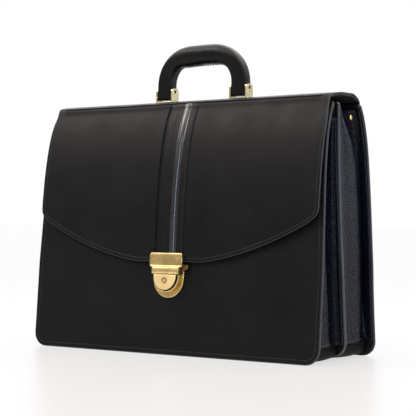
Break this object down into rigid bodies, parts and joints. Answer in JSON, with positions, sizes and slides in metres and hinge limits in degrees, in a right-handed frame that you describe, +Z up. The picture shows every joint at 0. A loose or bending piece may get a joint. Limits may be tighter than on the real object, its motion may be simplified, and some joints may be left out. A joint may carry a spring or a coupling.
{
  "type": "briefcase",
  "caption": "Upright leather briefcase with gusseted compartments, a full-width flap, a tuck lock with side release, and a swinging padded handle in brass clevises.",
  "frame": {"origin": "centre of the footprint, on the surface that the case stands on", "axes": "+X along the width to the right as seen from the front, +Y to the back, +Z up; the lock faces -Y"},
  "size_m": [0.4, 0.1297, 0.357],
  "materials": {
    "smooth_leather": "smooth satin calf, black",
    "handle_leather": "smooth semi-gloss, padded, black",
    "strip_leather": "glossy pleated, black",
    "grained_leather": "pebbled, glossy, black",
    "fibreboard": "raw pressed board",
    "suede_lining": "dark brown suede",
    "antique_brass": "satin antique brass",
    "matte_brass": "brushed matte brass",
    "polished_brass": "polished brass",
    "bronze": "dark bronze",
    "steel": "zinc-plated sheet steel"
  },
  "bodies": {
    "divider": {"divider_front_face": "smooth_leather", "divider_core": "fibreboard", "divider_rear_face": "smooth_leather"},
    "back": {"back_leather": "smooth_leather", "back_board": "fibreboard", "back_lining": "suede_lining", "rear_gusset_left": "grained_leather", "rear_gusset_right": "grained_leather", "rear_gusset_bottom": "grained_leather", "gusset_studs": "matte_brass"},
    "front": {"front_leather": "smooth_leather", "front_board": "fibreboard", "front_lining": "suede_lining", "front_gusset_left": "grained_leather", "front_gusset_right": "grained_leather", "front_gusset_bottom": "grained_leather", "lock_base": "antique_brass", "lock_body": "antique_brass", "lock_face": "matte_brass", "lock_backplate": "steel", "lock_rivets": "antique_brass"},
    "release": {"lock_slide": "bronze"},
    "key_barrel": {"key_barrel": "matte_brass"},
    "roof": {"roof_leather": "smooth_leather", "roof_board": "fibreboard", "roof_lining": "suede_lining", "handle_bracket_left": "polished_brass", "handle_bracket_right": "polished_brass", "handle_pins": "steel", "bracket_rivets": "polished_brass", "bracket_washers": "steel"},
    "handle": {"handle_grip": "handle_leather", "handle_core": "steel"},
    "flap": {"flap_leather": "smooth_leather", "flap_lining": "suede_lining", "flap_strip": "strip_leather", "flap_ridge": "strip_leather", "hasp_plate": "antique_brass", "hasp_bar": "antique_brass", "hasp_tongue": "steel", "hasp_backplate": "steel", "hasp_rivets": "antique_brass"}
  },
  "joints": [
    {"name": "rear_compartment", "type": "hinge", "parent": "divider", "child": "back", "pos_m": [0, 0.0625, 0], "axis": [-1, 0, 0], "range_deg": [0, 3]},
    {"name": "front_compartment", "type": "hinge", "parent": "divider", "child": "front", "pos_m": [0, -0.0642, 0], "axis": [1, 0, 0], "range_deg": [0, 7]},
    {"name": "roof_fold", "type": "hinge", "parent": "back", "child": "roof", "pos_m": [0, 0.0373, 0.2799], "axis": [-1, 0, 0], "range_deg": [0, 90]},
    {"name": "flap_fold", "type": "hinge", "parent": "roof", "child": "flap", "pos_m": [0, -0.0272, 0.2847], "axis": [-1, 0, 0], "range_deg": [0, 150]},
    {"name": "handle_swing", "type": "hinge", "parent": "roof", "child": "handle", "pos_m": [0, 0.0095, 0.304], "axis": [-1, 0, 0], "range_deg": [-75, 75]},
    {"name": "side_release", "type": "slide", "parent": "front", "child": "release", "axis": [1, 0, 0], "range_m": [0, 0.003], "stiffness_N_per_m": 200},
    {"name": "key_turn", "type": "hinge", "parent": "front", "child": "key_barrel", "pos_m": [0, -0.06646, 0.08462], "axis": [0, -0.9958, 0.0916], "range_deg": [0, 90]}
  ],
  "couplings": [
    {"joint": "rear_compartment", "follows": "flap_fold", "ratio": 0.02},
    {"joint": "front_compartment", "follows": "flap_fold", "ratio": 0.0466}
  ]
}
